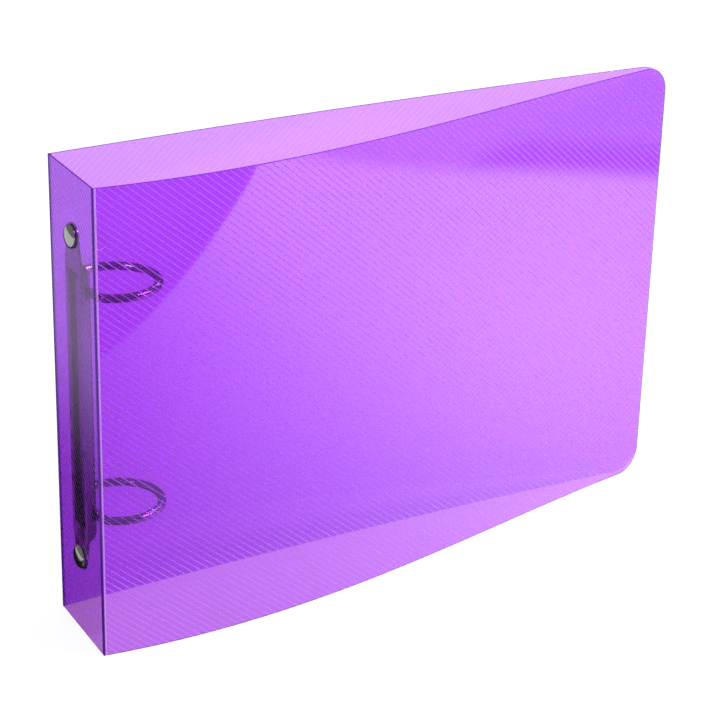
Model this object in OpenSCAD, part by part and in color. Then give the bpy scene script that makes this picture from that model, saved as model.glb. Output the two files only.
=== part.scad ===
// Landscape two-ring binder. One die-cut plastic sheet makes both covers and the spine, with a living
// hinge at each crease. A steel two-ring mechanism is riveted to the inside of the spine.
// Origin: centre of the spine's foot, in the middle of the sheet. +X points from the spine to the
// fore-edges, +Y from the front cover to the back cover, and +Z up.

/* [Sheet] */
// Thickness of the plastic sheet
sheet_t = 0.6; // [0.5:0.1:0.7]
// Height of the covers and of the spine
binder_h = 167; // [165:1:180]
// Radius of the fore-edge corners
corner_r = 10; // [4:1:15]

/* [Spine and creases] */
// Distance between the two crease axes
spine_w = 37.6; // [37:0.2:42]
// Width of the thinned strip beside each crease
crease_w = 0.8; // [0.8:0.1:1.2]
// Radius of the bead on the crease axis
bead_r = 0.35; // [0.3:0.05:0.35]

/* [Covers] */
// Distance from the creases' plane to the fore-edges
fore_x = 246; // [210:1:250]
// Heading of the front cover at its crease, in degrees towards the back cover
front_start = -6.3; // [-8:0.1:-4]
// How far the front cover's heading turns inwards at its steepest
front_swing = 21.35; // [10:0.05:21.35]
// Where along the front cover the heading is steepest
front_peak = 0.714; // [0.6:0.01:1]
// Heading of the back cover at its crease
back_start = 4.1; // [4:0.1:12]
// Heading of the back cover at its fore-edge
back_end = -1.6; // [-1.6:0.1:12]

/* [Ring mechanism] */
// Height of the mechanism's middle above the binder's foot
mech_z = 87; // [75:1:92]
// Distance between the two rings, the standard spacing of two punched holes
ring_pitch = 80; // [80]
// Distance between the two rivets
rivet_pitch = 116; // [112:1:118]
// Width of the housing
housing_w = 13.6; // [13.4:0.1:14.2]
// Height of the housing's crown above the spine
housing_h = 5; // [4.8:0.1:5.4]
// Thickness of the housing's steel
housing_t = 0.7; // [0.6:0.1:0.7]

/* [Rings] */
// Radius of the ring's centreline
ring_r = 14.7; // [14:0.1:15]
// Distance of the ring's centre from the creases' plane
ring_x = 13.9; // [13.5:0.1:14.5]
// Diameter of the ring wire
wire_d = 2.8; // [2.4:0.1:2.8]

/* [Rivets] */
// Diameter of the domed cap on the outside of the spine
cap_d = 8.2; // [7.6:0.1:9]
// Height of the domed cap
cap_h = 2; // [1.6:0.1:2.2]

/* [Hidden] */

$fn = 64;

sheet_color = [0.62, 0.30, 0.95, 0.55];
steel_color = [0.72, 0.71, 0.76];

crease_y = spine_w / 2;
inner_x = sheet_t / 2;
crease_t = 0.4;
groove_r = bead_r + 0.05;
cover_steps = 30;
cover_run = 1.06 * fore_x;

rivet_shank_r = 2;
rivet_hole_r = rivet_shank_r + 0.05;
rivet_rim_r = 3;
rivet_rim_t = 0.5;
rivet_bore_r = 1.2;
rivet_bore_l = 1.5;

// The housing is an arch with in-turned lips. Its two ends slope down to flat tongues.
arch_half_l = 46;
arch_slope = 0.92;
lip_w = 1.4;
wall_h = 2.6;
tongue_r = 4.6;
housing_l = rivet_pitch + 2 * tongue_r;
wall_inside_y = housing_w / 2 - housing_t;

// Each rail turns about the rounded edge that sits in the corner between wall and lip.
rail_t = 0.8;
rail_l = 88;
rail_tilt = 6;
rail_edge_r = rail_t / 2;
pivot_x = 2;
pivot_y = wall_inside_y - rail_edge_r - 0.05;
rail_w = pivot_y - 0.25;

// The wire's leg lies just above its rail and is staked through it with a headed peg.
wire_r = wire_d / 2;
leg_gap = 0.04;
leg_off = rail_edge_r + leg_gap + wire_r;
peg_r = 1;
peg_at = 2.6;
peg_head_r = 1.5;
peg_head_t = 0.35;
leg_end = 3.7;
bend_r = 4;
// The bend is drawn a hair thinner than the wire, and its ends lie just inside the ring and the leg.
bend_wire_r = wire_r - 0.03;
bend_tuck_a = 3;
slot_half_w = wire_r + 0.35;
slot_from_y = pivot_y - leg_end - 0.6;
slot_from_x = 1.9;

// Half lap between the two ring tips
lap_half = 1.6;
lap_gap = 0.05;
lap_angle = 12;

// Heading of each cover at a distance s from its crease, in degrees
function front_heading(s) =
    front_start + front_swing * (1 - pow(1 - s / (front_peak * fore_x), 2));
function back_heading(s) = back_start + (back_end - back_start) * s / fore_x;
function heading(side, s) = side < 0 ? front_heading(s) : back_heading(s);

// Points along the middle of a cover's thickness, walked in equal steps
function cover_line(side) =
    let (step = cover_run / cover_steps)
    [for (i = 0, a = heading(side, step / 2), p = [0, side * crease_y];
          i <= cover_steps;
          p = p + step * [cos(a), sin(a)], i = i + 1, a = heading(side, (i + 0.5) * step)) p];

// The same points moved sideways by off, square to the cover
function shifted(side, line, off) =
    [for (i = [0:cover_steps])
        let (a = heading(side, i * cover_run / cover_steps))
        line[i] + off * [-sin(a), cos(a)]];

function reversed(list) = [for (i = [len(list) - 1:-1:0]) list[i]];

// One cover: a curved strip, cut to height, with two rounded fore-edge corners and a round groove
// that clears the bead of its crease
module cover(side) {
    line = cover_line(side);
    difference() {
        intersection() {
            translate([0, 0, -1])
                linear_extrude(binder_h + 2)
                    polygon(concat(
                        shifted(side, line, -sheet_t / 2),
                        reversed(shifted(side, line, sheet_t / 2))
                    ));
            rotate([90, 0, 0])
                linear_extrude(4 * spine_w, center = true)
                    cover_outline();
        }
        translate([0, side * crease_y, -1])
            cylinder(r = groove_r, h = binder_h + 2);
    }
}

module cover_outline() {
    low = [for (a = [-90:6:0]) [fore_x - corner_r + corner_r * cos(a), corner_r + corner_r * sin(a)]];
    high = [for (p = reversed(low)) [p[0], binder_h - p[1]]];
    polygon(concat([[-1, 0]], low, high, [[-1, binder_h]]));
}

module front_cover() {
    color(sheet_color) cover(-1);
}

module back_cover() {
    color(sheet_color) cover(1);
}

// A living hinge: a thinned strip of the sheet that ends in a bead on the crease axis
module crease(side) {
    color(sheet_color)
        union() {
            translate([0, side * crease_y, 0])
                cylinder(r = bead_r, h = binder_h);
            translate([-crease_t / 2, side > 0 ? crease_y - crease_w : -crease_y, 0])
                cube([crease_t, crease_w, binder_h]);
        }
}

module front_crease() {
    crease(-1);
}

module back_crease() {
    crease(1);
}

module spine_panel() {
    panel_w = spine_w - 2 * crease_w;
    color(sheet_color)
        difference() {
            translate([-sheet_t / 2, -panel_w / 2, 0])
                cube([sheet_t, panel_w, binder_h]);
            for (side = [-1, 1])
                translate([-sheet_t, 0, mech_z + side * rivet_pitch / 2])
                    rotate([0, 90, 0])
                        cylinder(r = rivet_hole_r, h = 2 * sheet_t);
        }
}

// Cross-section of the arch in the plane across the spine, w wide and h high above the spine, with
// upright walls and a round crown
module arch_section(w, h, wall) {
    rise = h - wall;
    crown_r = (w * w / 4 + rise * rise) / (2 * rise);
    intersection() {
        translate([0, -w / 2])
            square([h, w]);
        union() {
            translate([0, -w / 2])
                square([wall, w]);
            translate([h - crown_r, 0])
                circle(r = crown_r, $fn = 128);
        }
    }
}

// A solid arch whose two ends slope down to the spine
module sloped_arch(w, h, wall, half_l) {
    foot_l = half_l + arch_slope * h;
    intersection() {
        translate([0, 0, -foot_l])
            linear_extrude(2 * foot_l)
                arch_section(w, h, wall);
        rotate([90, 0, 0])
            linear_extrude(2 * w, center = true)
                polygon([[0, -foot_l], [h, -half_l], [h, half_l], [0, foot_l]]);
    }
}

// Plan of the housing seen from the rings: straight sides, tapering to round tongues
module housing_plan() {
    taper_z = arch_half_l + 3;
    tongue_z = rivet_pitch / 2;
    half_w = housing_w / 2;
    polygon([
        [-half_w, -taper_z], [-tongue_r, -tongue_z], [tongue_r, -tongue_z], [half_w, -taper_z],
        [half_w, taper_z], [tongue_r, tongue_z], [-tongue_r, tongue_z], [-half_w, taper_z]
    ]);
    for (side = [-1, 1])
        translate([0, side * tongue_z])
            circle(r = tongue_r);
}

// The housing's sheet steel: arch and tongues in one, hollow underneath but for the two lips
module ring_housing() {
    inside_w = 2 * wall_inside_y;
    mouth_w = inside_w - 2 * lip_w;
    inside_half_l = arch_half_l - housing_t * (sqrt(1 + arch_slope * arch_slope) - arch_slope);
    color(steel_color)
        translate([inner_x, 0, mech_z])
            difference() {
                intersection() {
                    union() {
                        sloped_arch(housing_w, housing_h, wall_h, arch_half_l);
                        translate([0, -housing_w / 2, -housing_l / 2])
                            cube([housing_t, housing_w, housing_l]);
                    }
                    rotate([90, 0, 90])
                        linear_extrude(housing_h + 1)
                            housing_plan();
                }
                translate([housing_t, 0, 0])
                    sloped_arch(inside_w, housing_h - 2 * housing_t, wall_h - housing_t, inside_half_l);
                translate([-1, -mouth_w / 2, -arch_half_l])
                    cube([housing_t + 2, mouth_w, 2 * arch_half_l]);
                for (ring = [-1, 1])
                    for (side = [-1, 1])
                        translate([
                            slot_from_x - inner_x,
                            side > 0 ? slot_from_y : -slot_from_y - housing_w,
                            ring * ring_pitch / 2 - slot_half_w
                        ])
                            cube([housing_h, housing_w, 2 * slot_half_w]);
                for (side = [-1, 1])
                    translate([-1, 0, side * rivet_pitch / 2])
                        rotate([0, 90, 0])
                            cylinder(r = rivet_hole_r, h = housing_h);
            }
}

// Places a piece drawn on the rail's middle plane, with its first axis outwards from the pivot edge
// and its second axis towards the rings
module on_rail(side) {
    rotate([side > 0 ? 0 : 180, 0, 0])
        translate([pivot_x, pivot_y, 0])
            rotate([0, 0, 90 - rail_tilt])
                mirror([0, 1, 0])
                    children();
}

// One rail: a flat steel plate with a rounded outer edge and a hole for each peg
module rail(side) {
    color(steel_color)
        translate([0, 0, mech_z])
            on_rail(side)
                difference() {
                    union() {
                        translate([0, 0, -rail_l / 2])
                            cylinder(r = rail_edge_r, h = rail_l);
                        translate([-rail_w, -rail_edge_r, -rail_l / 2])
                            cube([rail_w, rail_t, rail_l]);
                    }
                    for (ring = [-1, 1])
                        translate([-peg_at, 0, ring * ring_pitch / 2])
                            rotate([90, 0, 0])
                                cylinder(r = peg_r, h = 2 * rail_t, center = true);
                }
}

module front_rail() {
    rail(-1);
}

module rear_rail() {
    rail(1);
}

// One half ring, drawn for the rear side. From its tip it runs round the ring, through a tighter bend
// and along a straight leg that is staked to the rail by a headed peg.
module half_ring(side, level) {
    // The ring's centre and the bend's centre, seen from the pivot edge along and square to the rail
    ring_u = (ring_x - pivot_x) * sin(rail_tilt) - pivot_y * cos(rail_tilt);
    ring_v = (ring_x - pivot_x) * cos(rail_tilt) + pivot_y * sin(rail_tilt);
    bend_v = leg_off + bend_r;
    bend_u = ring_u + sqrt(pow(ring_r - bend_r, 2) - pow(ring_v - bend_v, 2));
    meet_a = atan2(bend_v - ring_v, bend_u - ring_u);
    tip_a = 90 - rail_tilt;
    color(steel_color)
        translate([0, 0, mech_z + level * ring_pitch / 2])
            on_rail(side)
                union() {
                    translate([ring_u, ring_v, 0])
                        difference() {
                            wire_arc(wire_r, ring_r, meet_a, tip_a + lap_angle);
                            rotate([0, 0, tip_a])
                                tip_cut();
                        }
                    translate([bend_u, bend_v, 0])
                        wire_arc(bend_wire_r, bend_r, -90 - bend_tuck_a, meet_a + bend_tuck_a);
                    translate([-leg_end, leg_off, 0])
                        rotate([0, 90, 0])
                            cylinder(r = wire_r, h = bend_u + leg_end);
                    translate([-peg_at, leg_off, 0])
                        rotate([90, 0, 0])
                            cylinder(r = peg_r, h = leg_off + rail_edge_r + peg_head_t);
                    translate([-peg_at, -rail_edge_r, 0])
                        rotate([90, 0, 0])
                            cylinder(r = peg_head_r, h = peg_head_t);
                }
}

// A bent length of wire between two angles about the origin
module wire_arc(wire, radius, from, to) {
    rotate([0, 0, from])
        rotate_extrude(angle = to - from, $fn = 96)
            translate([radius, 0])
                circle(r = wire, $fn = 32);
}

// What is cut from a tip so that the two tips overlap by half their thickness
module tip_cut() {
    block = 4 * wire_d;
    translate([ring_r - block / 2, -lap_half - lap_gap, lap_gap - block])
        cube([block, block, block]);
    translate([ring_r - block / 2, lap_half - lap_gap, -block / 2])
        cube([block, block, block]);
}

module upper_front_half_ring() {
    half_ring(-1, 1);
}

module upper_rear_half_ring() {
    half_ring(1, 1);
}

module lower_front_half_ring() {
    half_ring(-1, -1);
}

module lower_rear_half_ring() {
    half_ring(1, -1);
}

// A tubular rivet: a domed cap outside the spine, a shank through the spine and the housing's
// tongue, and a rim clinched over the tongue
module rivet(level) {
    dome_r = (cap_d * cap_d / 4 + cap_h * cap_h) / (2 * cap_h);
    grip = sheet_t + housing_t;
    color(steel_color)
        translate([-inner_x, 0, mech_z + level * rivet_pitch / 2])
            rotate([0, 90, 0])
                rotate_extrude()
                    difference() {
                        union() {
                            intersection() {
                                translate([0, dome_r - cap_h])
                                    circle(r = dome_r, $fn = 128);
                                translate([0, -cap_h])
                                    square([cap_d / 2, cap_h]);
                            }
                            translate([0, -cap_h / 2])
                                square([rivet_shank_r, cap_h / 2 + grip + rivet_rim_t]);
                            translate([0, grip])
                                square([rivet_rim_r, rivet_rim_t]);
                        }
                        translate([-rivet_bore_r, grip + rivet_rim_t - rivet_bore_l])
                            square([2 * rivet_bore_r, 2 * rivet_bore_l]);
                    }
}

module upper_rivet() {
    rivet(1);
}

module lower_rivet() {
    rivet(-1);
}

front_cover();
front_crease();
spine_panel();
back_crease();
back_cover();
ring_housing();
front_rail();
rear_rail();
upper_front_half_ring();
upper_rear_half_ring();
lower_front_half_ring();
lower_rear_half_ring();
upper_rivet();
lower_rivet();
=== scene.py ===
"""A landscape two-ring binder in clear violet plastic with embossed diagonal lines.

Shapes are worked out in millimetres and turned into metres where a mesh is made. The stage, the lights and
the camera are in metres. The covers follow the same heading rule as the CAD model, so each smooth sheet
lies where its CAD node lies.
"""

import math

import bmesh
import bpy
import numpy as np
from mathutils import Matrix, Vector

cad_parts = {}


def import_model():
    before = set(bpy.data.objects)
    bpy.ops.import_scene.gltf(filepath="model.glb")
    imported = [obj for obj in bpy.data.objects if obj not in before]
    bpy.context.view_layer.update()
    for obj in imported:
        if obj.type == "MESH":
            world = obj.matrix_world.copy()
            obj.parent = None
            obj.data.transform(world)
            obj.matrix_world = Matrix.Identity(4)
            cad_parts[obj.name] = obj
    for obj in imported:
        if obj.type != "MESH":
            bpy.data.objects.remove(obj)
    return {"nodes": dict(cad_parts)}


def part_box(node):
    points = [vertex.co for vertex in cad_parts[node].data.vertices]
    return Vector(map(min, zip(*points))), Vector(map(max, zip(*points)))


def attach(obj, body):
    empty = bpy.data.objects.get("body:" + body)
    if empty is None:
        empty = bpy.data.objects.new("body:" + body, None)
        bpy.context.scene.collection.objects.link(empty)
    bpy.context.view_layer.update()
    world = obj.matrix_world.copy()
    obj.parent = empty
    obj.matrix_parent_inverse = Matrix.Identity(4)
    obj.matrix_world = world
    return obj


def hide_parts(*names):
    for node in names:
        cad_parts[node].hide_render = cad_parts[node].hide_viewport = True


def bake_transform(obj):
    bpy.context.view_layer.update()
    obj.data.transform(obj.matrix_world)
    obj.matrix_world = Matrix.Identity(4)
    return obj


MM = 0.001

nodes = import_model()["nodes"]
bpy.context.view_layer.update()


def corner_mm(node, which):
    """The lowest (0) or highest (1) corner of a CAD node, in millimetres."""
    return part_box(node)[which] / MM


# Sizes taken from the frame
HEIGHT = corner_mm("front_cover", 1).z
FORE_X = corner_mm("front_cover", 1).x
SHEET_T = corner_mm("spine_panel", 1).x - corner_mm("spine_panel", 0).x
BEAD_R = corner_mm("back_crease", 1).x
CREASE_Y = corner_mm("back_crease", 1).y - BEAD_R
SPINE_EDGE_Y = corner_mm("spine_panel", 1).y

# Shape of the sheet, in the CAD model's terms
CORNER_R = 10
FRONT_START = -6.3
FRONT_SWING = 21.35
FRONT_PEAK = 0.714
BACK_START = 4.1
BACK_END = -1.6
COVER_START = 0.95
RIVET_HOLE_R = 2.05

# Embossed lines: they climb at this angle along the unfolded sheet
LINE_ANGLE = math.radians(40)
LINE_PITCH = 1.93
LINE_HALF_W = 0.2
LINE_H = 0.018
EDGE_ROUND = 0.1

# Tubular rivets
SHANK_R = 2.0
CLINCH_R = 3.0
CLINCH_T = 0.5
BORE_R = 1.2
BORE_DEPTH = 1.5

# The camera's place in metres and its direction: yaw to the right of +Y, pitch downwards, and roll
CAMERA_AT = (-0.2421, -0.6358, 0.3972)
CAMERA_YAW = 0.501
CAMERA_PITCH = 0.410
CAMERA_ROLL = 0.025
CAMERA_LENS_MM = 112.385


# ---------------------------------------------------------------- helpers

def new_piece(name, data):
    """Puts a mesh, a light or a camera into the scene as an object."""
    piece = bpy.data.objects.new(name, data)
    bpy.context.scene.collection.objects.link(piece)
    return piece


def shade_smooth(bm, sharp_angle):
    """Smooth shading, except at edges that turn by this angle or more."""
    for face in bm.faces:
        face.smooth = True
    for edge in bm.edges:
        edge.smooth = edge.calc_face_angle(0) < sharp_angle


def declare(piece, body, node):
    """Says what the piece rides on and hides the CAD node that it stands for."""
    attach(piece, body)
    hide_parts(node)


# ---------------------------------------------------------------- materials

def new_material(name, colour, **values):
    """A Principled material. Its values are set on the shader's own sockets."""
    material = bpy.data.materials.new(name)
    material.use_nodes = True
    shader = material.node_tree.nodes["Principled BSDF"]
    shader.inputs["Base Color"].default_value = (*colour, 1)
    for socket, value in values.items():
        shader.inputs[socket.replace("_", " ")].default_value = value
    return material, material.node_tree, shader


def noise_in(tree, scale, detail):
    """Noise in the object's own coordinates."""
    coords = tree.nodes.new("ShaderNodeTexCoord")
    noise = tree.nodes.new("ShaderNodeTexNoise")
    noise.inputs["Scale"].default_value = scale
    noise.inputs["Detail"].default_value = detail
    tree.links.new(coords.outputs["Object"], noise.inputs["Vector"])
    return noise


def sheet_material(name, colour, transmission, roughness, wave_height):
    """Clear coloured plastic, with the slow waves that its rolling leaves in the surface."""
    material, tree, shader = new_material(
        name, colour, Roughness=roughness, IOR=1.5, Transmission_Weight=transmission
    )
    waves = noise_in(tree, scale=60, detail=1)
    bump = tree.nodes.new("ShaderNodeBump")
    bump.inputs["Strength"].default_value = 1
    bump.inputs["Distance"].default_value = wave_height
    tree.links.new(waves.outputs["Fac"], bump.inputs["Height"])
    tree.links.new(bump.outputs["Normal"], shader.inputs["Normal"])
    return material


def nickel_material():
    """Plated steel with fine scratches and small changes of gloss."""
    material, tree, shader = new_material("nickel_plate", (0.66, 0.64, 0.66), Metallic=1.0)
    cloud = noise_in(tree, scale=260, detail=2)
    gloss = tree.nodes.new("ShaderNodeMapRange")
    gloss.inputs["To Min"].default_value = 0.08
    gloss.inputs["To Max"].default_value = 0.18
    tree.links.new(cloud.outputs["Fac"], gloss.inputs["Value"])
    tree.links.new(gloss.outputs["Result"], shader.inputs["Roughness"])
    return material


# The outer face is glossy and holds most of the colour, and the inner face is a little softer. The
# embossed lines are matt, so they catch light in dark reflections and break up bright ones.
OUTER_COLOUR = (0.545, 0.061, 1.0)
INNER_COLOUR = (0.78, 0.74, 1.0)
SHEET_OUTER = sheet_material("violet_sheet_outer", OUTER_COLOUR, 1.0, 0.03, 0.000004)
SHEET_INNER = sheet_material("violet_sheet_inner", INNER_COLOUR, 0.8, 0.06, 0.000002)
# The lines' violet is lighter than the outer face's. That lighter tint is a painted highlight, added on top
# of their real matt finish.
SHEET_LINE_PAINTED_HIGHLIGHT = sheet_material("violet_sheet_line_painted_highlight", (0.62, 0.115, 1.0), 0.96, 0.45, 0.000002)
# The cut edges are painted dark and dull with little reflection. This is painted shade, standing in for the
# dark outline that refraction gives a clear sheet's edge.
SHEET_EDGE_PAINTED_DARK = sheet_material("violet_sheet_edge_painted_dark", (0.17, 0.012, 0.42), 0.35, 0.25, 0.000002)
SHEET_EDGE_PAINTED_DARK.node_tree.nodes["Principled BSDF"].inputs["Specular IOR Level"].default_value = 0.15
SPINE_INNER = sheet_material("violet_spine_inner", INNER_COLOUR, 1.0, 0.05, 0.000002)
# The crease web and bead are painted deep indigo: painted shade along the fold.
CREASE_WEB_PAINTED_SHADE = sheet_material("violet_crease_web_painted_shade", (0.12, 0.006, 0.42), 0.5, 0.12, 0.000002)
# The crease lip is painted pale lavender: a painted highlight on the bend beside the cover.
CREASE_LIP_PAINTED_HIGHLIGHT = sheet_material("violet_crease_lip_painted_highlight", (0.74, 0.32, 1.0), 0.55, 0.10, 0.000002)
NICKEL = nickel_material()


# ---------------------------------------------------------------- the unfolded sheet

def front_heading(s):
    return FRONT_START + FRONT_SWING * (1 - (1 - s / (FRONT_PEAK * FORE_X)) ** 2)


def back_heading(s):
    return BACK_START + (BACK_END - BACK_START) * s / FORE_X


class CoverLine:
    """The middle line of a cover seen from above, as a function of the distance from its crease."""

    step = 0.5

    def __init__(self, side, heading):
        self.side = side
        count = int(1.06 * FORE_X / self.step)
        s = np.arange(count + 1) * self.step
        middle = np.radians(heading(s[:-1] + self.step / 2))
        self.s = s
        self.angle = np.radians(heading(s))
        self.x = np.concatenate([[0], np.cumsum(np.cos(middle) * self.step)])
        self.y = side * CREASE_Y + np.concatenate([[0], np.cumsum(np.sin(middle) * self.step)])
        # Where a square-cut fore-edge just reaches the CAD model's fore-edge plane
        lean = SHEET_T / 2 * np.abs(np.sin(self.angle))
        self.end = float(np.interp(FORE_X, self.x + lean, s))

    def place(self, s, depth):
        """x and y of points at distance s from the crease and depth outwards of the sheet's middle."""
        angle = np.interp(s, self.s, self.angle)
        out = self.side * depth
        x = np.interp(s, self.s, self.x) - out * np.sin(angle)
        y = np.interp(s, self.s, self.y) + out * np.cos(angle)
        return x, y


def embossed_grid(u_range, relief):
    """A flat mesh in (u, z, height), larger than the panel, whose rows follow the embossed lines."""
    cos_a = math.cos(LINE_ANGLE)
    sin_a = math.sin(LINE_ANGLE)
    corners = [(u, z) for u in u_range for z in (0, HEIGHT)]
    along = [u * cos_a + z * sin_a for u, z in corners]
    across = [-u * sin_a + z * cos_a for u, z in corners]
    first = math.floor(min(across) / LINE_PITCH) - 1
    last = math.ceil(max(across) / LINE_PITCH) + 1
    profile = [(-LINE_HALF_W, 0), (-LINE_HALF_W / 3, relief), (LINE_HALF_W / 3, relief), (LINE_HALF_W, 0)]
    w = np.array([k * LINE_PITCH + offset for k in range(first, last) for offset, _ in profile])
    h = np.array([height for _ in range(first, last) for _, height in profile])
    a = np.linspace(min(along) - 1, max(along) + 1, int((max(along) - min(along)) / 5) + 2)
    aa, ww = np.meshgrid(a, w)
    hh = np.repeat(h[:, None], len(a), axis=1)
    verts = np.stack([aa * cos_a - ww * sin_a, aa * sin_a + ww * cos_a, hh], axis=-1).reshape(-1, 3)
    n = len(a)
    faces = [
        (r * n + c, r * n + c + 1, (r + 1) * n + c + 1, (r + 1) * n + c)
        for r in range(len(w) - 1)
        for c in range(n - 1)
    ]
    mesh = bpy.data.meshes.new("grid")
    mesh.from_pydata(verts.tolist(), [], faces)
    bm = bmesh.new()
    bm.from_mesh(mesh)
    bpy.data.meshes.remove(mesh)
    return bm


def cut_away(bm, point, normal):
    """Removes what lies beyond a line of the flat mesh."""
    everything = bm.verts[:] + bm.edges[:] + bm.faces[:]
    bmesh.ops.bisect_plane(
        bm, geom=everything, dist=1e-6, plane_co=(*point, 0), plane_no=(*normal, 0), clear_outer=True
    )


def cut_round_hole(bm, centre, radius, sides=24):
    """Cuts a round hole by its tangent lines, close to the hole only."""
    middle = Vector((*centre, 0))
    for k in range(sides):
        angle = 2 * math.pi * (k + 0.5) / sides
        normal = Vector((math.cos(angle), math.sin(angle), 0))
        near = [f for f in bm.faces if (f.calc_center_median() - middle).length < radius + 4]
        geom = set(near) | {e for f in near for e in f.edges} | {v for f in near for v in f.verts}
        bmesh.ops.bisect_plane(
            bm, geom=list(geom), dist=1e-6, plane_co=middle + radius * normal, plane_no=normal
        )
    inside = [f for f in bm.faces if (f.calc_center_median() - middle).xy.length < radius * 0.999]
    bmesh.ops.delete(bm, geom=inside, context="FACES")


class Outline:
    """The panel's edge in the flat sheet: where it is cut and which way is outwards."""

    def __init__(self, u_crease, u_end, rounded, holes=()):
        self.u_crease = u_crease
        self.u_end = u_end
        self.sign = 1 if u_end > u_crease else -1
        self.rounded = rounded
        self.holes = holes

    def cut(self, bm):
        inset = EDGE_ROUND
        cut_away(bm, (self.u_crease, 0), (-self.sign, 0))
        end = self.u_end - (self.sign * inset if self.rounded else 0)
        cut_away(bm, (end, 0), (self.sign, 0))
        cut_away(bm, (0, HEIGHT - inset), (0, 1))
        cut_away(bm, (0, inset), (0, -1))
        if self.rounded:
            count = 14
            for up in (-1, 1):
                for k in range(count):
                    angle = math.pi / 2 * (k + 0.5) / count
                    normal = (self.sign * math.cos(angle), up * math.sin(angle))
                    centre = self.corner(up)
                    reach = CORNER_R - inset
                    cut_away(bm, (centre[0] + reach * normal[0], centre[1] + reach * normal[1]), normal)
        for centre in self.holes:
            cut_round_hole(bm, centre, RIVET_HOLE_R + inset)

    def corner(self, up):
        z = HEIGHT - CORNER_R if up > 0 else CORNER_R
        return self.u_end - self.sign * CORNER_R, z

    def outward(self, u, z):
        """The direction of the edge's rounding at a point on the cut."""
        for centre in self.holes:
            gap = Vector(centre) - Vector((u, z))
            if gap.length < RIVET_HOLE_R + 1:
                return gap.normalized()
        if self.rounded:
            for up in (-1, 1):
                cu, cz = self.corner(up)
                if (u - cu) * self.sign > 0.01 and (z - cz) * up > 0.01:
                    return Vector((u - cu, z - cz)).normalized()
        near = 2 * EDGE_ROUND
        at_end = self.rounded and abs(u - self.u_end) < near
        return Vector((self.sign if at_end else 0, int(z > HEIGHT - near) - int(z < near)))


def solid_panel(name, outline, place, inner, edge):
    """A closed sheet: the embossed outer face, a plain inner face and a rounded edge between them."""
    bm = embossed_grid((outline.u_crease, outline.u_end), LINE_H)
    outline.cut(bm)
    bm.verts.ensure_lookup_table()
    bm.verts.index_update()
    flat = np.array([v.co for v in bm.verts])
    faces = [[v.index for v in f.verts] for f in bm.faces]
    rim_loops = [e.link_loops[0] for e in bm.edges if e.is_boundary]
    rim = [(loop.vert.index, loop.link_loop_next.vert.index) for loop in rim_loops]
    bm.free()
    count = len(flat)
    u, z, relief = flat.T
    half = SHEET_T / 2
    layers = [(u, z, half - LINE_H + relief), (u, z, np.full(count, -half))]
    rim_verts = sorted({i for edge in rim for i in edge})
    slot_of = {i: k for k, i in enumerate(rim_verts)}
    out = np.array([outline.outward(u[i], z[i]) for i in rim_verts]) * EDGE_ROUND
    rim_u = u[rim_verts] + out[:, 0]
    rim_z = z[rim_verts] + out[:, 1]
    for depth in (half - LINE_H - EDGE_ROUND, -half + EDGE_ROUND):
        layers.append((rim_u, rim_z, np.full(len(rim_verts), depth)))
    verts = []
    for lu, lz, ld in layers:
        x, y = place(lu, ld)
        verts += (np.stack([x, y, lz], axis=-1) * MM).tolist()
    upper = 2 * count
    lower = upper + len(rim_verts)
    polygons = faces + [[count + i for i in reversed(f)] for f in faces]
    walls = []
    for i, j in rim:
        a, b = slot_of[i], slot_of[j]
        walls.append([j, i, upper + a, upper + b])
        walls.append([upper + b, upper + a, lower + a, lower + b])
        walls.append([lower + b, lower + a, count + i, count + j])
    mesh = bpy.data.meshes.new(name)
    mesh.from_pydata(verts, [], polygons + walls)
    # The walls take the edge material. On the front cover and the spine, that is the painted dark edge.
    for material in (SHEET_OUTER, inner, edge, SHEET_LINE_PAINTED_HIGHLIGHT):
        mesh.materials.append(material)
    material_index = np.repeat([0, 1, 2], [len(faces), len(faces), len(walls)])
    # Faces on the embossed lines take the line material, with its painted highlight tint.
    on_line = np.array([any(relief[i] > 0 for i in f) for f in faces])
    material_index[: len(faces)][on_line] = 3
    mesh.polygons.foreach_set("material_index", material_index.astype(np.int32))
    mesh.polygons.foreach_set("use_smooth", np.ones(len(mesh.polygons), bool))
    piece = new_piece(name, mesh)
    bm = bmesh.new()
    bm.from_mesh(mesh)
    bmesh.ops.recalc_face_normals(bm, faces=bm.faces)
    for edge in bm.edges:
        one, other = edge.link_faces
        edge.smooth = one.material_index == other.material_index
    bm.to_mesh(mesh)
    bm.free()
    return piece


front_line = CoverLine(-1, front_heading)
back_line = CoverLine(1, back_heading)


def front_place(u, depth):
    return front_line.place(-u - CREASE_Y, depth)


def back_place(u, depth):
    return back_line.place(u - CREASE_Y, depth)


def spine_place(u, depth):
    return -depth, u


front_cover_sheet = solid_panel(
    "front_cover_sheet", Outline(-CREASE_Y - COVER_START, -CREASE_Y - front_line.end, True), front_place,
    SHEET_INNER, SHEET_EDGE_PAINTED_DARK,
)
back_cover_sheet = solid_panel(
    "back_cover_sheet", Outline(CREASE_Y + COVER_START, CREASE_Y + back_line.end, True), back_place,
    SHEET_INNER, SHEET_OUTER,
)
rivet_places = [
    (0, (corner_mm(node, 0).z + corner_mm(node, 1).z) / 2) for node in ("upper_rivet", "lower_rivet")
]
spine_sheet = solid_panel(
    "spine_sheet", Outline(-SPINE_EDGE_Y, SPINE_EDGE_Y, False, rivet_places), spine_place,
    SPINE_INNER, SHEET_EDGE_PAINTED_DARK,
)

declare(front_cover_sheet, "front_cover", "front_cover")
declare(back_cover_sheet, "back_cover", "back_cover")
declare(spine_sheet, "spine", "spine_panel")


# ---------------------------------------------------------------- creases

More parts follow.
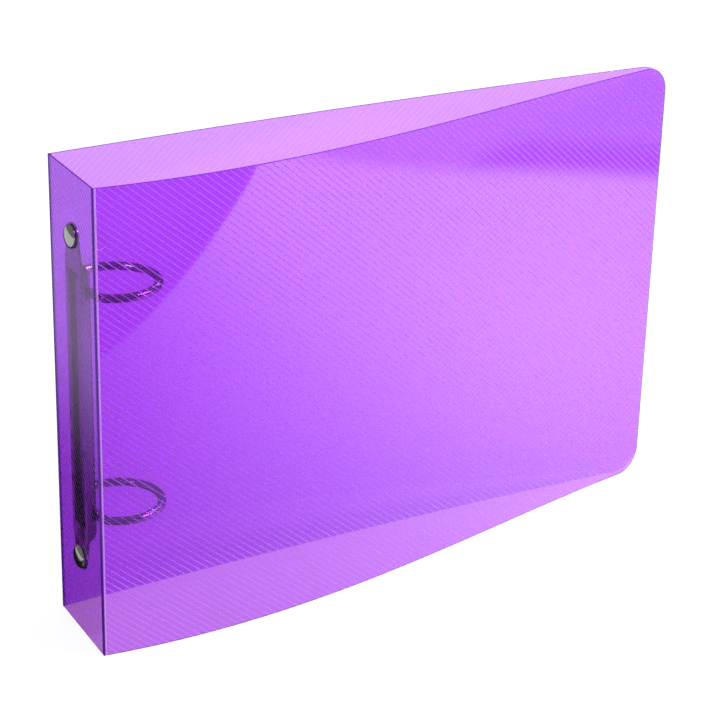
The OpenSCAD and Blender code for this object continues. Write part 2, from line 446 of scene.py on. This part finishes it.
def crease_strip(name, side, line):
    """The living hinge: a scored web beside the spine, a bead on the axis and a lip that meets the cover."""
    half = SHEET_T / 2

    def on_cover(s, depth):
        x, y = line.place(s, depth)
        return float(x), side * float(y)

    web = [(-half + LINE_H, SPINE_EDGE_Y), (-0.17, SPINE_EDGE_Y + 0.2), (-0.17, SPINE_EDGE_Y + 0.4)]
    bead = []
    for degrees in range(60, 181, 12):
        turn = math.radians(degrees)
        bead.append((-BEAD_R * math.sin(turn), CREASE_Y - BEAD_R * math.cos(turn)))
    outer_lip = [on_cover(s, half - dip) for s, dip in ((0.3, 0.06), (0.42, 0), (0.7, 0), (0.85, 0.05))]
    outer_lip.append(on_cover(COVER_START, half - LINE_H))
    inner_lip = [on_cover(COVER_START, -half), on_cover(0.45, -half)]
    inside = [(0.2, CREASE_Y - 0.12), (0.12, CREASE_Y - 0.4), (half, SPINE_EDGE_Y)]
    profile = web + bead + outer_lip + inner_lip + inside
    lip_faces = range(len(web) + len(bead), len(web) + len(bead) + len(outer_lip) + 1)
    rows = 24
    n = len(profile)
    levels = [HEIGHT * k / rows * MM for k in range(rows + 1)]
    verts = [(x * MM, side * y * MM, z) for z in levels for x, y in profile]
    faces = []
    is_lip = []
    for k in range(rows):
        for i in range(n):
            j = (i + 1) % n
            faces.append((k * n + i, k * n + j, (k + 1) * n + j, (k + 1) * n + i))
            is_lip.append(int(i in lip_faces))
    faces += [tuple(range(n)), tuple(rows * n + i for i in reversed(range(n)))]
    mesh = bpy.data.meshes.new(name)
    mesh.from_pydata(verts, [], faces)
    # The web, the bead and the inner faces take the painted shade. The end caps take the painted dark edge.
    for material in (CREASE_WEB_PAINTED_SHADE, CREASE_LIP_PAINTED_HIGHLIGHT, SHEET_EDGE_PAINTED_DARK):
        mesh.materials.append(material)
    # is_lip picks the outer lip faces, which take the painted highlight.
    mesh.polygons.foreach_set("material_index", np.array(is_lip + [2, 2], np.int32))
    piece = new_piece(name, mesh)
    bm = bmesh.new()
    bm.from_mesh(mesh)
    bmesh.ops.recalc_face_normals(bm, faces=bm.faces)
    shade_smooth(bm, 0.6)
    bm.to_mesh(mesh)
    bm.free()
    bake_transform(piece)
    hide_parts("back_crease" if side > 0 else "front_crease")


crease_strip("front_crease_strip", -1, front_line)
crease_strip("back_crease_strip", 1, back_line)


# ---------------------------------------------------------------- metal

def softened(name, node, body, width):
    """A CAD node's shape with its pressed edges rounded over."""
    source = nodes[node]
    bm = bmesh.new()
    bm.from_mesh(source.data)
    bmesh.ops.transform(bm, matrix=source.matrix_world, verts=bm.verts)
    bmesh.ops.remove_doubles(bm, verts=bm.verts, dist=0.002 * MM)
    bmesh.ops.dissolve_limit(bm, angle_limit=math.radians(0.5), verts=bm.verts, edges=bm.edges)
    corners = [e for e in bm.edges if len(e.link_faces) == 2 and e.calc_face_angle() > math.radians(40)]
    bmesh.ops.bevel(
        bm, geom=corners, offset=width, offset_type="WIDTH", segments=2, profile=0.5, affect="EDGES",
        clamp_overlap=True,
    )
    shade_smooth(bm, math.radians(30))
    mesh = bpy.data.meshes.new(name)
    bm.to_mesh(mesh)
    bm.free()
    mesh.materials.append(NICKEL)
    piece = new_piece(name, mesh)
    bpy.context.view_layer.objects.active = piece
    modifier = piece.modifiers.new("normals", "WEIGHTED_NORMAL")
    modifier.keep_sharp = True
    bpy.ops.object.modifier_apply(modifier=modifier.name)
    declare(piece, body, node)


def button_rivet(name, node):
    """A tubular rivet: a domed cap with a rolled shoulder, its shank and the clinched end inside."""
    low = corner_mm(node, 0)
    high = corner_mm(node, 1)
    seat = -SHEET_T / 2
    cap_r = (high.y - low.y) / 2
    cap_h = seat - low.x
    shoulder_h = 0.18
    dome_steps = 24
    profile = []
    for k in range(dome_steps + 1):
        turn = math.pi / 2 * k / dome_steps
        r = cap_r * math.sin(turn) ** 0.9
        profile.append((r, seat - shoulder_h - (cap_h - shoulder_h) * math.cos(turn) ** 0.85))
    profile += [(cap_r - 0.03, seat - 0.06), (cap_r - 0.14, seat), (SHANK_R, seat)]
    clinch_x = high.x - CLINCH_T
    profile += [(SHANK_R, clinch_x), (CLINCH_R - 0.12, clinch_x), (CLINCH_R, clinch_x + 0.12)]
    profile += [(CLINCH_R, high.x - 0.15), (CLINCH_R - 0.15, high.x)]
    profile += [(BORE_R + 0.2, high.x), (BORE_R + 0.06, high.x - 0.06), (BORE_R, high.x - 0.2)]
    profile += [(BORE_R, high.x - BORE_DEPTH), (0, high.x - BORE_DEPTH)]
    sides = 72
    turns = [2 * math.pi * k / sides for k in range(sides)]
    z = (low.z + high.z) / 2
    bm = bmesh.new()
    rings = []
    for r, x in profile:
        if r == 0:
            rings.append([bm.verts.new((x * MM, 0, z * MM))] * sides)
            continue
        circle = [(x * MM, r * MM * math.cos(t), (z + r * math.sin(t)) * MM) for t in turns]
        rings.append([bm.verts.new(point) for point in circle])
    for one, other in zip(rings, rings[1:]):
        for k in range(sides):
            corners = [one[k], one[(k + 1) % sides], other[(k + 1) % sides], other[k]]
            bm.faces.new(list(dict.fromkeys(corners)))
    bmesh.ops.recalc_face_normals(bm, faces=bm.faces)
    shade_smooth(bm, math.radians(35))
    mesh = bpy.data.meshes.new(name)
    bm.to_mesh(mesh)
    bm.free()
    mesh.materials.append(NICKEL)
    piece = new_piece(name, mesh)
    declare(piece, "spine", node)


button_rivet("upper_rivet_button", "upper_rivet")
button_rivet("lower_rivet_button", "lower_rivet")
softened("ring_housing_plate", "ring_housing", "spine", 0.16 * MM)
for name in (
    "front_rail", "rear_rail", "upper_front_half_ring", "upper_rear_half_ring",
    "lower_front_half_ring", "lower_rear_half_ring",
):
    node = nodes[name]
    node.data.materials.clear()
    node.data.materials.append(NICKEL)


# ---------------------------------------------------------------- stage, light and camera

class FloorPattern:
    """Small steps for building a pattern over the floor's own x and y, in metres."""

    def __init__(self, tree):
        self.tree = tree
        coords = tree.nodes.new("ShaderNodeTexCoord")
        self.split = tree.nodes.new("ShaderNodeSeparateXYZ")
        tree.links.new(coords.outputs["Object"], self.split.inputs["Vector"])

    def math(self, operation, *values):
        node = self.tree.nodes.new("ShaderNodeMath")
        node.operation = operation
        for k, value in enumerate(values):
            if isinstance(value, float):
                node.inputs[k].default_value = value
            else:
                self.tree.links.new(value, node.inputs[k])
        return node.outputs[0]

    def ramp(self, axis_x, axis_y, offset, start, end):
        """A smooth step from 0 at start to 1 at end, of axis_x * x + axis_y * y + offset."""
        part = self.math("MULTIPLY_ADD", self.split.outputs["X"], axis_x, offset)
        value = self.math("MULTIPLY_ADD", self.split.outputs["Y"], axis_y, part)
        step = self.tree.nodes.new("ShaderNodeMapRange")
        step.interpolation_type = "SMOOTHSTEP"
        step.inputs["From Min"].default_value = start
        step.inputs["From Max"].default_value = end
        self.tree.links.new(value, step.inputs["Value"])
        return step.outputs["Result"]

    def times(self, one, other):
        return self.math("MULTIPLY", one, other)

    def plus(self, one, other):
        return self.math("ADD", one, other)

    def minus(self, mask, full, drop):
        """full, less drop where the mask is 1."""
        return self.math("MULTIPLY_ADD", mask, -drop, full)

    def mixed(self, mask, low, scale):
        """scale where the mask is 1, and scale times low where it is 0."""
        rest = self.math("SUBTRACT", 1.0, mask)
        return self.times(self.plus(mask, self.times(rest, low)), scale)


def painted_reflection_light(pattern):
    """Painted reflections that glossy faces pick up from the floor: a bright sheet-like patch and a weaker
    one.

    The bright patch has a cut edge, grows dimmer towards the binder and has a duller strip along its far
    right side. The pale patch has a soft edge and lies outside the spine. Only mirrored rays see them.
    """
    cut_edge = pattern.ramp(0.486, 1.0, 0.2495, 0.0, 0.004)
    fading = pattern.ramp(1.0, 0.0, 0.0, -0.06, 0.39)
    front_side = pattern.ramp(0.12, -1.0, 0.0, 0.0, 0.01)
    painted_paper_reflection = pattern.times(pattern.times(cut_edge, fading), front_side)
    bright = pattern.ramp(1.0, -0.625, 0.0, 0.69, 0.64)
    far = pattern.ramp(1.0, -0.625, 0.0, 0.76, 0.70)
    dull = pattern.times(far, pattern.ramp(0.0, 1.0, 0.0, -0.235, -0.205))
    level = pattern.times(painted_paper_reflection, pattern.mixed(bright, pattern.minus(dull, 0.43, 0.25), 3.7))
    painted_card_reflection = pattern.times(pattern.ramp(-1.0, 0.0, 0.0, 0.039, 0.102), 0.6)
    return pattern.plus(level, painted_card_reflection)


def floor_material():
    """Plain white where it is seen, and painted reflections, two glowing patches, where it is mirrored."""
    material = bpy.data.materials.new("white_floor")
    material.use_nodes = True
    tree = material.node_tree
    tree.nodes.clear()
    seen = tree.nodes.new("ShaderNodeBsdfPrincipled")
    seen.inputs["Base Color"].default_value = (0.22, 0.22, 0.22, 1)
    seen.inputs["Roughness"].default_value = 0.9
    seen.inputs["Emission Color"].default_value = (1, 1, 1, 1)
    seen.inputs["Emission Strength"].default_value = 0.83
    mirrored = tree.nodes.new("ShaderNodeEmission")
    tree.links.new(painted_reflection_light(FloorPattern(tree)), mirrored.inputs["Strength"])
    path = tree.nodes.new("ShaderNodeLightPath")
    mix = tree.nodes.new("ShaderNodeMixShader")
    # Glossy rays see the painted reflections in place of the white floor.
    tree.links.new(path.outputs["Glossy Depth"], mix.inputs["Fac"])
    tree.links.new(seen.outputs[0], mix.inputs[1])
    tree.links.new(mirrored.outputs[0], mix.inputs[2])
    out = tree.nodes.new("ShaderNodeOutputMaterial")
    tree.links.new(mix.outputs[0], out.inputs["Surface"])
    return material


def make_floor():
    bm = bmesh.new()
    bmesh.ops.create_grid(bm, x_segments=1, y_segments=1, size=4)
    mesh = bpy.data.meshes.new("floor")
    bm.to_mesh(mesh)
    bm.free()
    mesh.materials.append(floor_material())
    new_piece("floor", mesh)


def make_world():
    """Even white light all round, much weaker where it is mirrored."""
    world = bpy.data.worlds.new("studio")
    bpy.context.scene.world = world
    world.use_nodes = True
    tree = world.node_tree
    background = tree.nodes["Background"]
    background.inputs["Color"].default_value = (1, 1, 1, 1)
    path = tree.nodes.new("ShaderNodeLightPath")
    level = tree.nodes.new("ShaderNodeMapRange")
    level.inputs["To Min"].default_value = 1.0
    level.inputs["To Max"].default_value = 0.18
    tree.links.new(path.outputs["Glossy Depth"], level.inputs["Value"])
    tree.links.new(level.outputs["Result"], background.inputs["Strength"])


def softbox(name, location, target, size, power):
    light = bpy.data.lights.new(name, "AREA")
    light.shape = "RECTANGLE"
    light.size, light.size_y = size
    light.energy = power
    lamp = new_piece(name, light)
    lamp.location = location
    direction = Vector(target) - Vector(location)
    lamp.rotation_euler = direction.to_track_quat("-Z", "Y").to_euler()


def make_camera():
    heading = Vector((math.sin(CAMERA_YAW), math.cos(CAMERA_YAW), 0))
    forward = math.cos(CAMERA_PITCH) * heading - math.sin(CAMERA_PITCH) * Vector((0, 0, 1))
    level_right = Vector((heading.y, -heading.x, 0))
    level_up = level_right.cross(forward)
    right = math.cos(CAMERA_ROLL) * level_right + math.sin(CAMERA_ROLL) * level_up
    up = -math.sin(CAMERA_ROLL) * level_right + math.cos(CAMERA_ROLL) * level_up
    data = bpy.data.cameras.new("camera")
    data.sensor_width = 36
    data.lens = CAMERA_LENS_MM
    data.clip_start = 0.01
    camera = new_piece("camera", data)
    turn = Matrix((right, up, -forward)).transposed()
    camera.matrix_world = Matrix.Translation(CAMERA_AT) @ turn.to_4x4()
    bpy.context.scene.camera = camera


make_floor()
make_world()
softbox("key_light", (0.62, -0.3, 0.62), (0.15, 0, 0.1), (0.4, 0.4), 7)
make_camera()

bpy.context.scene.view_settings.view_transform = "Standard"
